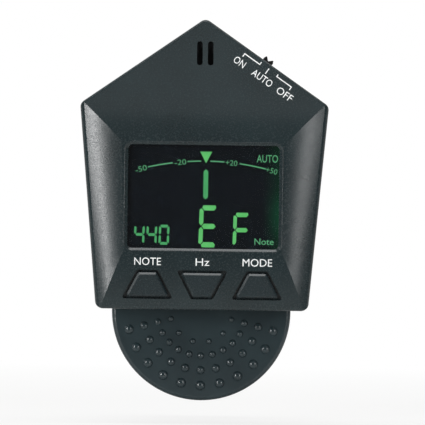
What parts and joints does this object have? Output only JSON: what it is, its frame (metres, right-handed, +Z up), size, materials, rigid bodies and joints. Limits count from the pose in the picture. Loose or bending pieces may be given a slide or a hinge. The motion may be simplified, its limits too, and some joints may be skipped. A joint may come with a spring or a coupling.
{
  "type": "clip on tuner",
  "caption": "Five-sided clip on tuner with a backlit display and keys, on a tilting and swivelling arm held by a sprung headstock clip.",
  "frame": {"origin": "middle of the jaw grip: half way between the two rubber pads' faces at the middle of their height, with the clip closed", "axes": "+X to the right as seen from the front, +Z up and out of the jaws' mouth, the display faces -Y and the clip is behind it towards +Y"},
  "size_m": [0.0502, 0.0529, 0.0776],
  "materials": {
    "case_plastic": "fine moulded satin, dark slate",
    "key_plastic": "satin moulded keys",
    "clear_lens": "polished clear acrylic",
    "display_glass": "dark display with lit green segments",
    "light_guide": "frosted light guide",
    "white_plastic": "moulded holder plastic",
    "board_green": "solder mask on fibreglass",
    "black_resin": "moulded resin",
    "rubber": "soft black rubber",
    "steel": "bright nickel plated steel",
    "brass": "rolled brass",
    "fibre": "translucent slip washer"
  },
  "bodies": {
    "clip_front": {"front_lever": "case_plastic", "front_jaw_pad": "rubber", "clip_pin": "steel", "clip_spring": "steel", "tilt_pin": "steel"},
    "clip_rear": {"rear_lever": "case_plastic", "rear_jaw_pad": "rubber"},
    "arm": {"tilt_arm": "case_plastic", "friction_washer": "fibre", "swivel_washer": "steel", "swivel_screw": "steel"},
    "head": {"front_case": "case_plastic", "rear_case": "case_plastic", "display_lens": "clear_lens", "display_glass": "display_glass", "backlight": "light_guide", "display_holder": "white_plastic", "contact_strip": "rubber", "circuit_board": "board_green", "controller_chip": "black_resin", "microphone": "steel", "microphone_boot": "rubber", "piezo_disc": "brass", "slide_switch": "steel", "coin_cell": "steel", "battery_holder": "black_resin", "low_contact": "steel", "side_contact": "steel", "left_key_switch": "black_resin", "centre_key_switch": "black_resin", "right_key_switch": "black_resin", "case_screw_1": "steel", "case_screw_2": "steel", "case_screw_3": "steel", "case_screw_4": "steel"},
    "key_l": {"left_key": "key_plastic", "left_plunger": "white_plastic"},
    "key_c": {"centre_key": "key_plastic", "centre_plunger": "white_plastic"},
    "key_r": {"right_key": "key_plastic", "right_plunger": "white_plastic"},
    "knob": {"switch_knob": "key_plastic"},
    "door": {"battery_door": "case_plastic"}
  },
  "joints": [
    {"name": "jaw_hinge", "type": "hinge", "parent": "clip_front", "child": "clip_rear", "pos_m": [0, 0, -0.02], "axis": [-1, 0, 0], "range_deg": [0, 32], "stiffness_Nm_per_rad": 0.25, "springref_deg": -34.38, "deforming": ["clip_spring"]},
    {"name": "tilt_hinge", "type": "hinge", "parent": "clip_front", "child": "arm", "pos_m": [0, -0.0078, 0.0115], "axis": [-1, 0, 0], "range_deg": [0, 90]},
    {"name": "head_swivel", "type": "hinge", "parent": "arm", "child": "head", "pos_m": [0, -0.01065, -0.005], "axis": [0, 1, 0], "continuous": true},
    {"name": "left_key_press", "type": "slide", "parent": "head", "child": "key_l", "axis": [0, 1, 0], "range_m": [0, 0.0004], "stiffness_N_per_m": 1500, "springref_m": -0.0004},
    {"name": "centre_key_press", "type": "slide", "parent": "head", "child": "key_c", "axis": [0, 1, 0], "range_m": [0, 0.0004], "stiffness_N_per_m": 1500, "springref_m": -0.0004},
    {"name": "right_key_press", "type": "slide", "parent": "head", "child": "key_r", "axis": [0, 1, 0], "range_m": [0, 0.0004], "stiffness_N_per_m": 1500, "springref_m": -0.0004},
    {"name": "mode_switch", "type": "slide", "parent": "head", "child": "knob", "axis": [0.8191, 0, -0.5737], "range_m": [-0.002, 0.002]},
    {"name": "battery_door_slide", "type": "slide", "parent": "head", "child": "door", "axis": [0, 0, -1], "range_m": [0, 0.022]}
  ]
}
